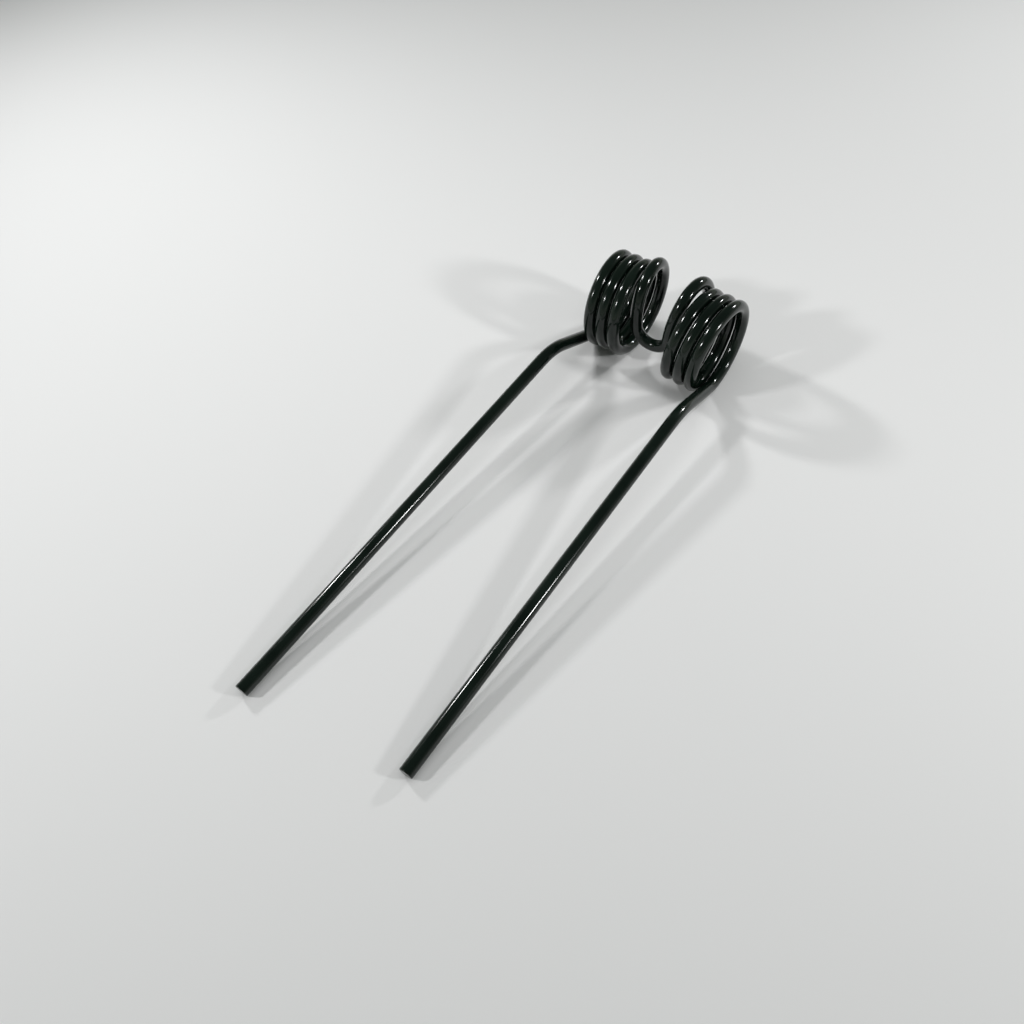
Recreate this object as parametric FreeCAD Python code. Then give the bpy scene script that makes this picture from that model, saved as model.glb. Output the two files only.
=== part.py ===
import FreeCAD, Part
import math
import os
from FreeCAD import Rotation, Vector

# Double coil tine of a rotary rake, bent from one length of round spring wire.
# X runs along the two coils, -Y towards the tips of the tines, and Z is up. The
# origin is on the coils' axis, midway between them. The part lies as it comes to
# rest on level ground, on its coils and on the ends of its tines.
# Lengths are in mm and angles in degrees. Angles round a coil are seen against
# +X: 0 is the back, 90 the top and 180 the front, on the side of the tines.

# Wire
wire_diameter = 9.5
tip_edge_radius = 0.7

# Coils, each wound from the bridge over the top and down the back
coil_mean_radius = 32.9
coil_pitch = 10.1
coil_turns = 3.834
coil_start_angle = 186.0
coil_start_offset = 14.4
coil_toe_angle = -1.0
coil_lean_angle = 1.1

# First half turn of each coil, drawn back and up from the round to reach the bridge
drawn_angle = 200.0
drawn_back = 16.9
drawn_up = 6.8

# Bridge between the coils, a round bend that joins two short legs
bridge_leg_length = 4.0

# Run-out from the coil, elbow and long straight tine
run_out_length = 45.0
elbow_radius = 56.0
left_tine_length = 315.5
right_tine_length = 296.5
tine_splay_angle = 0.3

# Finest steps: spans of paired arcs in the two parts of a coil, and halvings of a search
drawn_spans = 4
round_spans = 7
halvings = 40

wire_radius = wire_diameter / 2
advance = coil_pitch / math.tau
start_angle = math.radians(coil_start_angle)
round_angle = start_angle - math.radians(drawn_angle)
end_angle = start_angle - math.tau * coil_turns
coil_middle = Vector(coil_start_offset + coil_pitch * coil_turns / 2, 0, 0)
coil_tilt = Rotation(Vector(0, 0, 1), coil_toe_angle) * Rotation(Vector(0, 1, 0), coil_lean_angle)


def drawn_share(angle):
    """Smooth step from 0 on the round to 1 at the bridge, and its slope."""
    span = start_angle - round_angle
    share = max(angle - round_angle, 0) / span
    return share * share * (3 - 2 * share), 6 * share * (1 - share) / span


def coil_point(angle):
    """Point of the wire's centre line on the coil, at an angle in radians."""
    step, _ = drawn_share(angle)
    level = Vector(
        coil_start_offset + advance * (start_angle - angle),
        coil_mean_radius * math.cos(angle) + drawn_back * step,
        coil_mean_radius * math.sin(angle) + drawn_up * step,
    )
    return coil_middle + coil_tilt.multVec(level - coil_middle)


def coil_heading(angle):
    """Direction of the wire on the coil, away from the bridge."""
    _, slope = drawn_share(angle)
    level = Vector(
        advance,
        coil_mean_radius * math.sin(angle) - drawn_back * slope,
        -coil_mean_radius * math.cos(angle) - drawn_up * slope,
    )
    return coil_tilt.multVec(level).normalize()


def straight(start, direction, length):
    """Straight run of wire, and where it ends."""
    end = start + direction * length
    return Part.LineSegment(start, end).toShape(), end


def bend(start, into, out, setback):
    """Arc between two directions whose tangents meet a setback away, and where it ends."""
    half_turn = into.getAngle(out) / 2
    corner = start + into * setback
    end = corner + out * setback
    radius = setback / math.tan(half_turn)
    crown = radius / math.cos(half_turn) - radius
    inward = (out - into).normalize()
    return Part.Arc(start, corner + inward * crown, end).toShape(), end


def paired_arcs(start, into, end, out):
    """Two arcs of equal setback that join two points and keep both directions."""
    gap = end - start
    both = into + out
    spread = 2 * (1 - into.dot(out))
    reach = gap.dot(both)
    setback = (math.sqrt(reach * reach + spread * gap.dot(gap)) - reach) / spread
    across = ((end - out * setback) - (start + into * setback)).normalize()
    first, meeting = bend(start, into, across, setback)
    second, _ = bend(meeting, across, out, setback)
    return [first, second]


def bridge_path():
    """Half of the bridge: its leg and its share of the round bend, up to X = 0."""
    down = -coil_heading(start_angle)
    leg, leg_foot = straight(coil_point(start_angle), down, bridge_leg_length)
    setback = leg_foot.x / (1 - down.x)
    arc, _ = bend(leg_foot, down, Vector(-1, 0, 0), setback)
    return [arc, leg]


def coil_path(first_angle, last_angle, spans):
    """Stretch of the coil in equal spans, each a pair of arcs tangent to the next."""
    path = []
    for i in range(spans):
        a = first_angle + (last_angle - first_angle) * i / spans
        b = first_angle + (last_angle - first_angle) * (i + 1) / spans
        path += paired_arcs(coil_point(a), coil_heading(a), coil_point(b), coil_heading(b))
    return path


def resting_height():
    """Height of the wire's centre line at the foot of the lowest whole turn."""
    foot = math.radians(-90)
    feet = [foot - math.tau * turn for turn in range(math.floor(coil_turns))]
    return min(coil_point(angle).z for angle in feet)


def tine_path(tine_length):
    """Run-out, elbow and tine, which drops until its end lies as low as the coil."""
    leave = coil_heading(end_angle)
    run_out, elbow_start = straight(coil_point(end_angle), leave, run_out_length)
    splay = math.radians(tine_splay_angle)
    ground = resting_height()

    def bent_down(drop):
        flat = math.cos(splay)
        direction = Vector(math.sin(splay), -flat * math.cos(drop), -flat * math.sin(drop))
        setback = elbow_radius * math.tan(leave.getAngle(direction) / 2)
        elbow, elbow_end = bend(elbow_start, leave, direction, setback)
        tine, tip = straight(elbow_end, direction, tine_length)
        return [run_out, elbow, tine], tip, direction

    low, high = math.radians(-30), math.radians(40)
    for _ in range(halvings):
        drop = (low + high) / 2
        if bent_down(drop)[1].z > ground:
            low = drop
        else:
            high = drop
    return bent_down(drop)


def half_wire(tine_length):
    """Solid wire on the +X side, from the tip of its tine to the middle of the bridge."""
    coil = coil_path(start_angle, round_angle, drawn_spans)
    coil += coil_path(round_angle, end_angle, round_spans)
    tail, tip, direction = tine_path(tine_length)
    path = Part.Wire(bridge_path() + coil + tail)
    section = Part.Wire(Part.Circle(tip, direction, wire_radius).toShape())
    wire = path.makePipeShell([section], True, True)
    tip_face = min(wire.Faces, key=lambda face: face.CenterOfMass.distanceToPoint(tip))
    return wire.makeFillet(tip_edge_radius, tip_face.Edges)


right_half = half_wire(right_tine_length)
left_half = half_wire(left_tine_length).mirror(Vector(0, 0, 0), Vector(1, 0, 0))
double_coil_tine = right_half.fuse(left_half).removeSplitter()

os.makedirs("parts", exist_ok=True)
double_coil_tine.exportStep("parts/double_coil_tine.step")
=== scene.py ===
import math

import bpy
import numpy as np
from mathutils import Matrix, Vector


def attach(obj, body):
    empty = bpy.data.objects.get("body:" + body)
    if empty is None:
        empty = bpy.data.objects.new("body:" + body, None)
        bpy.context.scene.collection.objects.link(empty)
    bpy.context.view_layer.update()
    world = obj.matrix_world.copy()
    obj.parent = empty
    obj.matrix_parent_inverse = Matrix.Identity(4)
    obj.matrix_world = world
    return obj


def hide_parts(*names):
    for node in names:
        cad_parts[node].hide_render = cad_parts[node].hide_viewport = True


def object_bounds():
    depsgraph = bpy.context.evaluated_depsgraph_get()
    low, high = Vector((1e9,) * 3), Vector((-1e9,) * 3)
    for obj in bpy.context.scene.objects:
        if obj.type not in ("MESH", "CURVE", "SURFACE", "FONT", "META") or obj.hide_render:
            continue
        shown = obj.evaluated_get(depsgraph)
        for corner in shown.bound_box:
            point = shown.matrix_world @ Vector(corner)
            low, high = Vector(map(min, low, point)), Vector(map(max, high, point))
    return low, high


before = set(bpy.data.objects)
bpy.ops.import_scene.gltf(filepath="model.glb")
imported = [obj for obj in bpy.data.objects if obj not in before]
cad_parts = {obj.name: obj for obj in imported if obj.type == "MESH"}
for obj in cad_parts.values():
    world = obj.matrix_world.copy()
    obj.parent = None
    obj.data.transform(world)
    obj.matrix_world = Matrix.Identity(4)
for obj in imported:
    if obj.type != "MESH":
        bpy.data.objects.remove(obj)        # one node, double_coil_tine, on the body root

cadBox = [list(corner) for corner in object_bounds()]

# the spring wire, sizes in mm and angles in degrees
# angles round a coil are seen against +X: 0 back, 90 top, 180 front
wire = {
    "node": "double_coil_tine",
    "diameter": 9.5,
    "tipEdge": 0.7,           # broken edge of the sheared end
    "edgeRings": 7,           # rings round that edge, then shares of the face inside it
    "faceShares": (0.8, 0.55, 0.3, 0.1),
    "coilRadius": 32.9,
    "coilPitch": 10.1,
    "coilTurns": 3.834,
    "coilStart": 186.0,
    "coilOffset": 14.4,
    "coilToe": -1.0,
    "coilLean": 1.1,
    "drawnAngle": 200.0,      # first half turn, drawn back and up to the bridge
    "drawnBack": 16.9,
    "drawnUp": 6.8,
    "bridgeLeg": 4.0,
    "runOut": 45.0,
    "elbowRadius": 56.0,
    "leftTine": 315.5,
    "rightTine": 296.5,
    "splay": 0.3,
    "bendStep": 1.5,          # spacing of stations along bends and coils
    "straightStep": 5.0,
    "fewestOnBend": 8,
    "fewestOnStraight": 2,
    "dropLimit": 20.0,        # the search for the tine's drop, either way from level
    "dropCount": 4001,
    "aroundCount": 48,
    "twistFrom": 20.0,        # the mesh turns a quarter between these distances from
    "twistTo": 80.0,          # the middle of the bridge, so no quad is twisted much
}


def turnAbout(axis, degrees):
    return np.array(Matrix.Rotation(math.radians(degrees), 3, axis))


def unit(v):
    return v / np.linalg.norm(v, axis=-1, keepdims=True)


def straightRun(start, direction, length, step):
    # points = start + direction * distance, without the last one
    count = max(wire["fewestOnStraight"], math.ceil(length / step))
    distance = np.arange(count)[:, None] * length / count
    return start + direction * distance, start + direction * length


def bendRun(start, into, out, setback, step):
    # circle arc: start + r sin(a) into + r (1 - cos(a)) inward, a from 0 to the turn
    turn = math.acos(np.clip(into @ out, -1, 1))
    radius = setback / math.tan(turn / 2)
    inward = unit(out - into * (into @ out))
    count = max(wire["fewestOnBend"], math.ceil(radius * turn / step))
    a = np.arange(count + 1)[:, None] * turn / count
    points = start + radius * (np.sin(a) * into + (1 - np.cos(a)) * inward)
    return points[:-1], points[-1]


def coilLine(angle, w):
    # helix about X, shifted back and up by a smooth step over its first half turn,
    # then leaned about the middle of the coil; also gives the unit direction
    start = math.radians(w["coilStart"])
    span = math.radians(w["drawnAngle"])
    share = np.clip((angle - (start - span)) / span, 0, 1)
    step = share * share * (3 - 2 * share)
    slope = 6 * share * (1 - share) / span
    advance = w["coilPitch"] / math.tau
    radius = w["coilRadius"]
    middle = np.array([w["coilOffset"] + w["coilPitch"] * w["coilTurns"] / 2, 0, 0])
    level = np.stack([
        w["coilOffset"] + advance * (start - angle),
        radius * np.cos(angle) + w["drawnBack"] * step,
        radius * np.sin(angle) + w["drawnUp"] * step,
    ], axis=-1)
    heading = np.stack([
        np.full_like(angle, advance),
        radius * np.sin(angle) - w["drawnBack"] * slope,
        -radius * np.cos(angle) - w["drawnUp"] * slope,
    ], axis=-1)
    tilt = turnAbout("Z", w["coilToe"]) @ turnAbout("Y", w["coilLean"])
    return middle + (level - middle) @ tilt.T, unit(heading @ tilt.T)


def halfLine(w, tineLength):
    # centre line of the +X side, from the middle of the bridge to the tip, in mm
    start = math.radians(w["coilStart"])
    end = start - math.tau * w["coilTurns"]
    ends, headings = coilLine(np.array([start, end]), w)
    down, leave = -headings[0], headings[1]

    leg, legFoot = straightRun(ends[0], down, w["bridgeLeg"], w["bendStep"])
    setback = legFoot[0] / (1 - down[0])
    across = np.array([-1.0, 0, 0])
    bridge, bridgeMiddle = bendRun(legFoot, down, across, setback, w["bendStep"])

    coilLength = w["coilRadius"] * (start - end)
    angles = np.linspace(start, end, math.ceil(coilLength / w["bendStep"]))
    coil, _ = coilLine(angles, w)

    runOut, elbowStart = straightRun(ends[1], leave, w["runOut"], w["straightStep"])

    # the tine drops until its end lies as low as the foot of the lowest turn
    feet = math.radians(-90) - math.tau * np.arange(math.floor(w["coilTurns"]))
    ground = coilLine(feet, w)[0][:, 2].min()
    drops = np.radians(np.linspace(w["dropLimit"], -w["dropLimit"], w["dropCount"]))
    splay = math.radians(w["splay"])
    directions = np.stack([
        np.full_like(drops, math.sin(splay)),
        -math.cos(splay) * np.cos(drops),
        -math.cos(splay) * np.sin(drops),
    ], axis=-1)
    setbacks = w["elbowRadius"] * np.tan(np.arccos(directions @ leave) / 2)
    heights = elbowStart[2] + leave[2] * setbacks + directions[:, 2] * (setbacks + tineLength)
    drop = np.interp(ground, heights, drops)
    out = np.array([
        math.sin(splay),
        -math.cos(splay) * math.cos(drop),
        -math.cos(splay) * math.sin(drop),
    ])
    elbowSetback = w["elbowRadius"] * math.tan(math.acos(leave @ out) / 2)
    elbow, tineStart = bendRun(elbowStart, leave, out, elbowSetback, w["bendStep"])
    tine, tip = straightRun(tineStart, out, tineLength, w["straightStep"])
    inner = np.concatenate([bridgeMiddle[None], bridge[::-1], leg[:0:-1]])
    return np.concatenate([inner, coil[:-1], runOut, elbow, tine, tip[None]])


def wholeLine(w):
    # left tip to right tip; the left side is the right side's form with its own length
    right = halfLine(w, w["rightTine"])
    left = halfLine(w, w["leftTine"]) * [-1, 1, 1]
    return np.concatenate([left[:0:-1], right])


def tube(line, w):
    # a circle carried along the line: line + r (cos(u) side + sin(u) rise);
    # at both ends r follows a quarter round and then shrinks to nothing
    radius = w["diameter"] / 2
    edge = w["tipEdge"]
    forward = unit(np.gradient(line, axis=0))
    forward[0] = unit(line[1] - line[0])
    forward[-1] = unit(line[-1] - line[-2])

    quarter = np.linspace(0, math.pi / 2, w["edgeRings"])
    roundIn = edge * (1 - np.sin(quarter))
    roundRadius = radius - edge + edge * np.cos(quarter)
    faceRadius = (radius - edge) * np.array(w["faceShares"])
    capBack = np.concatenate([roundIn, np.zeros(len(faceRadius))])
    capRadius = np.concatenate([roundRadius, faceRadius])

    headCap = line[0] + forward[0] * capBack[::-1, None]
    tailCap = line[-1] - forward[-1] * capBack[:, None]
    centre = np.concatenate([headCap, line[1:-1], tailCap])
    ways = np.concatenate([
        np.repeat(forward[:1], len(capBack), axis=0),
        forward[1:-1],
        np.repeat(forward[-1:], len(capBack), axis=0),
    ])
    radii = np.concatenate([capRadius[::-1], np.full(len(line) - 2, radius), capRadius])

    # the side direction is Y on the bridge and turns smoothly to X on the coils
    steps = np.linalg.norm(np.diff(centre, axis=0), axis=1)
    travelled = np.concatenate([[0], np.cumsum(steps)])
    middle = travelled[np.argmin(np.abs(centre[:, 0]) + np.abs(centre[:, 1]))]
    twistSpan = w["twistTo"] - w["twistFrom"]
    share = np.clip((np.abs(travelled - middle) - w["twistFrom"]) / twistSpan, 0, 1)
    share = (share * share * (3 - 2 * share))[:, None]
    hint = share * [1.0, 0, 0] + (1 - share) * [0, 1.0, 0]
    side = unit(hint - ways * np.sum(hint * ways, axis=1, keepdims=True))
    rise = np.cross(ways, side)

    u = np.arange(w["aroundCount"]) * math.tau / w["aroundCount"]
    ring = np.cos(u)[None, :, None] * side[:, None] + np.sin(u)[None, :, None] * rise[:, None]
    rings = centre[:, None] + radii[:, None, None] * ring
    return rings, travelled, line[0], line[-1]


def wireMesh(w):
    # quads between neighbouring rings, and a fan to the middle of each sheared end
    rings, travelled, headTip, tailTip = tube(wholeLine(w), w)
    count, around = rings.shape[:2]
    points = np.concatenate([rings.reshape(-1, 3), headTip[None], tailTip[None]]) / 1000
    i, j = np.meshgrid(np.arange(count - 1), np.arange(around), indexing="ij")
    k = (j + 1) % around
    here, there = i * around, (i + 1) * around
    quads = np.stack([here + j, here + k, there + k, there + j], -1).reshape(-1, 4)
    j = np.arange(around)
    k = (j + 1) % around
    last = (count - 1) * around
    head = np.stack([np.full(around, count * around), k, j], -1)
    tail = np.stack([np.full(around, count * around + 1), last + j, last + k], -1)

    mesh = bpy.data.meshes.new("springWire")
    mesh.from_pydata(points.tolist(), [], quads.tolist() + head.tolist() + tail.tolist())
    mesh.shade_smooth()
    mesh.validate()

    # UV in metres: along the wire and round it
    girth = math.pi * w["diameter"] / 1000
    corners = np.zeros(len(mesh.loops), dtype=np.int32)
    mesh.loops.foreach_get("vertex_index", corners)
    lengths = np.concatenate([np.repeat(travelled, around), travelled[[0, -1]]]) / 1000
    turns = np.concatenate([np.tile(np.arange(around) / around, count), [0, 0]])
    uv = np.stack([lengths[corners], turns[corners] * girth], -1)
    faceV = uv[:quads.size, 1].reshape(-1, 4)
    wraps = (faceV.max(axis=1) - faceV.min(axis=1)) > girth / 2
    faceV[wraps] = np.where(faceV[wraps] < girth / 2, faceV[wraps] + girth, faceV[wraps])
    uv[:quads.size, 1] = faceV.reshape(-1)
    layer = mesh.uv_layers.new(name="alongWire")
    layer.data.foreach_set("uv", uv.astype(np.float32).reshape(-1))
    mesh.update()
    return mesh


def linear(hexColour):
    # sRGB hex to linear RGBA
    values = [int(hexColour[i:i + 2], 16) / 255 for i in (1, 3, 5)]
    return [v / 12.92 if v <= 0.04045 else ((v + 0.055) / 1.055) ** 2.4 for v in values] + [1.0]


def node(tree, kind, links=(), **settings):
    # one node with its settings, and its links as (input name, socket)
    made = tree.nodes.new(kind)
    for name, value in settings.items():
        if name in made.inputs:
            made.inputs[name].default_value = value
        else:
            setattr(made, name, value)
    for name, socket in links:
        tree.links.new(socket, made.inputs[name])
    return made


# black dip enamel stoved on drawn spring steel: a thick glassy film, so lamps show as
# small hard spots; it keeps a trace of the drawing lines that run along the wire, a
# faint orange peel, and a few specks of dust caught under it
enamel = {
    "colour": "#07110c",
    "thinColour": "#101b15",
    "ior": 1.45,
    "roughness": 0.12,
    "hazeRoughness": 0.16,
    "patchSize": 28.0,        # mm, sizes of the patterns
    "patchDetail": 3.0,       # octaves of each pattern
    "toneRange": (0.35, 0.7),  # shares of the patches between which the tone and
    "hazeRange": (0.4, 0.75),  # the roughness change
    "peelSize": 3.2,
    "peelDetail": 1.0,
    "lineDetail": 2.0,
    "lineSpacing": 1.1,       # finer on the real wire, drawn as coarse as it can show
    "lineLength": 55.0,
    "speckSpacing": 5.0,
    "speckSize": 0.35,
    "peelDepth": 0.0014,      # mm, depths of the patterns
    "lineDepth": 0.0009,
    "speckDepth": 0.02,
}


def blackDipEnamel(e, w):
    material = bpy.data.materials.new("blackDipEnamel")
    material.use_nodes = True
    tree = material.node_tree
    tree.nodes.clear()
    place = node(tree, "ShaderNodeTexCoord").outputs["Object"]

    # the wire's own UV, rolled up so that the pattern closes round the wire
    along = node(tree, "ShaderNodeUVMap", uv_map="alongWire").outputs["UV"]
    split = node(tree, "ShaderNodeSeparateXYZ", [("Vector", along)])
    # the distance round the wire in metres over its radius gives the angle
    turn = node(tree, "ShaderNodeMath", [(0, split.outputs["Y"])], operation="MULTIPLY")
    turn.inputs[1].default_value = 2000 / w["diameter"]
    across = node(tree, "ShaderNodeMath", [(0, turn.outputs[0])], operation="COSINE")
    rise = node(tree, "ShaderNodeMath", [(0, turn.outputs[0])], operation="SINE")
    rolled = node(tree, "ShaderNodeCombineXYZ", [
        ("X", split.outputs["X"]), ("Y", across.outputs[0]), ("Z", rise.outputs[0])])
    around = w["diameter"] / 2 / e["lineSpacing"]
    drawn = node(tree, "ShaderNodeMapping", [("Vector", rolled.outputs[0])],
                 Scale=(1000 / e["lineLength"], around, around))
    lines = node(tree, "ShaderNodeTexNoise", [("Vector", drawn.outputs[0])],
                 Scale=1.0, Detail=e["lineDetail"])

    patches = node(tree, "ShaderNodeTexNoise", [("Vector", place)],
                   Scale=1000 / e["patchSize"], Detail=e["patchDetail"])
    peel = node(tree, "ShaderNodeTexNoise", [("Vector", place)],
                Scale=1000 / e["peelSize"], Detail=e["peelDetail"])
    specks = node(tree, "ShaderNodeTexVoronoi", [("Vector", place)],
                  Scale=1000 / e["speckSpacing"])
    speckEdge = e["speckSize"] / e["speckSpacing"]
    speck = node(tree, "ShaderNodeMapRange", [("Value", specks.outputs["Distance"])],
                 interpolation_type="SMOOTHSTEP",
                 **{"From Min": 0.0, "From Max": speckEdge, "To Min": 1.0, "To Max": 0.0})

    # heights in metres: specks, then orange peel, then drawing lines
    height = node(tree, "ShaderNodeMath", [(0, speck.outputs[0])], operation="MULTIPLY")
    height.inputs[1].default_value = e["speckDepth"] / 1000
    for pattern, depth in ((peel, e["peelDepth"]), (lines, e["lineDepth"])):
        height = node(tree, "ShaderNodeMath",
                      [(0, pattern.outputs["Fac"]), (2, height.outputs[0])],
                      operation="MULTIPLY_ADD")
        height.inputs[1].default_value = depth / 1000
    bump = node(tree, "ShaderNodeBump", [("Height", height.outputs[0])],
                Strength=1.0, Distance=1.0)

    tone = node(tree, "ShaderNodeMapRange", [("Value", patches.outputs["Fac"])],
                **{"From Min": e["toneRange"][0], "From Max": e["toneRange"][1]})
    colour = node(tree, "ShaderNodeMix", [("Factor", tone.outputs[0])], data_type="RGBA")
    colour.inputs[6].default_value = linear(e["colour"])
    colour.inputs[7].default_value = linear(e["thinColour"])
    rough = node(tree, "ShaderNodeMapRange", [("Value", patches.outputs["Fac"])],
                 **{"From Min": e["hazeRange"][0], "From Max": e["hazeRange"][1],
                    "To Min": e["roughness"], "To Max": e["hazeRoughness"]})
    shader = node(
        tree, "ShaderNodeBsdfPrincipled",
        [("Base Color", colour.outputs[2]), ("Roughness", rough.outputs[0]),
         ("Normal", bump.outputs["Normal"])],
        IOR=e["ior"],
    )
    node(tree, "ShaderNodeOutputMaterial", [("Surface", shader.outputs["BSDF"])])
    return material


wireObject = bpy.data.objects.new("springWire", wireMesh(wire))
bpy.context.collection.objects.link(wireObject)
wireObject.data.materials.append(blackDipEnamel(enamel, wire))
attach(wireObject, "root")
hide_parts(wire["node"])
print("spring wire made:", len(wireObject.data.polygons), "faces")

# camera of the photograph: the origin of the part shows at pixel, distance away in mm
camera = {
    "azimuth": 35.77,
    "elevation": 54.18,
    "distance": 675.0,
    "focalPixels": 884.5,
    "originPixel": (662.2, 321.2),
    "frame": 1024,
    "sensorWidth": 36.0,      # mm
    "clipStart": 0.01,        # m
}


def photoCamera(c):
    azimuth, elevation = math.radians(c["azimuth"]), math.radians(c["elevation"])
    right = Vector((math.cos(azimuth), math.sin(azimuth), 0))
    level = math.cos(elevation)
    forward = Vector((-math.sin(azimuth) * level, math.cos(azimuth) * level, -math.sin(elevation)))
    up = right.cross(forward)
    half = c["frame"] / 2
    across = (c["originPixel"][0] - half) / c["focalPixels"]
    below = (c["originPixel"][1] - half) / c["focalPixels"]
    place = -(right * across - up * below + forward) * c["distance"] / 1000
    data = bpy.data.cameras.new("photoCamera")
    data.sensor_fit = "HORIZONTAL"
    data.sensor_width = c["sensorWidth"]
    data.lens = c["focalPixels"] / c["frame"] * data.sensor_width
    data.clip_start = c["clipStart"]
    made = bpy.data.objects.new("photoCamera", data)
    turned = Matrix((right, up, -forward)).transposed().to_4x4()
    made.matrix_world = Matrix.Translation(place) @ turned
    bpy.context.collection.objects.link(made)
    bpy.context.scene.camera = made


photoCamera(camera)
print("camera placed")

# studio: pale matt floor, pale walls under a dim ceiling, one large soft lamp overhead
# for the floor, and the four small bright lamps whose spots show on the coils
studio = {
    "floorSize": 8.0,         # m, as are the other sizes and distances here
    "floorCells": 8,
    "floorColour": "#e9e9e9",
    "ceilingColour": "#545856",
    "wallColour": "#aab0a5",
    "wallTop": 0.05,          # sines of the elevations between which wall turns to ceiling
    "ceilingFrom": 0.50,
    "fillHeight": 1.8,
    "fillForward": 0.15,      # towards the tines' tips
    "fillSize": 1.6,
    "fillPower": 8.6,
    "lampSize": 0.10,
    "lampSpread": 130.0,      # degrees, gridded so that they spill less on the floor below them
    "lamps": [                # azimuth from the tines' side towards +X, elevation, distance, power
        ("lampFrontRight", 96.0, 28.0, 1.15, 2.05),
        ("lampBackRight", 161.6, 26.2, 1.3, 2.3),
        ("lampBackLeft", -84.0, 31.0, 1.1, 2.0),
        ("lampFrontLeft", -34.3, 29.9, 1.3, 2.25),
    ],
}


def paleFloor(s):
    half = s["floorSize"] / 2
    bottom = cadBox[0][2]
    cells = s["floorCells"]
    grid = np.linspace(-half, half, cells + 1)
    x, y = np.meshgrid(grid, grid, indexing="ij")
    points = np.stack([x, y, np.full_like(x, bottom)], -1).reshape(-1, 3)
    i, j = np.meshgrid(np.arange(cells), np.arange(cells), indexing="ij")
    row = cells + 1
    first = i * row + j
    faces = np.stack([first, first + row, first + row + 1, first + 1], -1).reshape(-1, 4)
    mesh = bpy.data.meshes.new("studioFloor")
    mesh.from_pydata(points.tolist(), [], faces.tolist())
    material = bpy.data.materials.new("paleFloor")
    material.use_nodes = True
    tree = material.node_tree
    tree.nodes.clear()
    matt = node(tree, "ShaderNodeBsdfDiffuse", Color=linear(s["floorColour"]))
    node(tree, "ShaderNodeOutputMaterial", [("Surface", matt.outputs["BSDF"])])
    mesh.materials.append(material)
    made = bpy.data.objects.new("studioFloor", mesh)
    bpy.context.collection.objects.link(made)


def paleRoom(s):
    world = bpy.data.worlds.new("paleRoom")
    world.use_nodes = True
    tree = world.node_tree
    tree.nodes.clear()
    # pale walls under a dim ceiling, by the height of the direction
    way = node(tree, "ShaderNodeTexCoord").outputs["Generated"]
    height = node(tree, "ShaderNodeSeparateXYZ", [("Vector", way)]).outputs["Z"]
    share = node(tree, "ShaderNodeMapRange", [("Value", height)], interpolation_type="SMOOTHSTEP",
                 **{"From Min": s["wallTop"], "From Max": s["ceilingFrom"]})
    blend = node(tree, "ShaderNodeMix", [("Factor", share.outputs[0])], data_type="RGBA")
    blend.inputs[6].default_value = linear(s["wallColour"])
    blend.inputs[7].default_value = linear(s["ceilingColour"])
    room = node(tree, "ShaderNodeBackground", [("Color", blend.outputs[2])])
    node(tree, "ShaderNodeOutputWorld", [("Surface", room.outputs["Background"])])
    bpy.context.scene.world = world


def lamp(name, place, size, power):
    # square lamp that looks at the coils
    data = bpy.data.lights.new(name, "AREA")
    data.size = size
    data.energy = power
    made = bpy.data.objects.new(name, data)
    made.location = place
    made.rotation_euler = (-place).to_track_quat("-Z", "Y").to_euler()
    bpy.context.collection.objects.link(made)
    return made


paleFloor(studio)
paleRoom(studio)
fillPlace = Vector((0, -studio["fillForward"], studio["fillHeight"]))
fill = lamp("fillLamp", fillPlace, studio["fillSize"], studio["fillPower"])
fill.visible_glossy = False
for name, azimuth, elevation, distance, power in studio["lamps"]:
    a, b = math.radians(azimuth), math.radians(elevation)
    toLamp = Vector((math.sin(a) * math.cos(b), -math.cos(a) * math.cos(b), math.sin(b)))
    spot = lamp(name, toLamp * distance, studio["lampSize"], power)
    spot.data.spread = math.radians(studio["lampSpread"])
bpy.context.scene.view_settings.view_transform = "Standard"
print("studio lit")
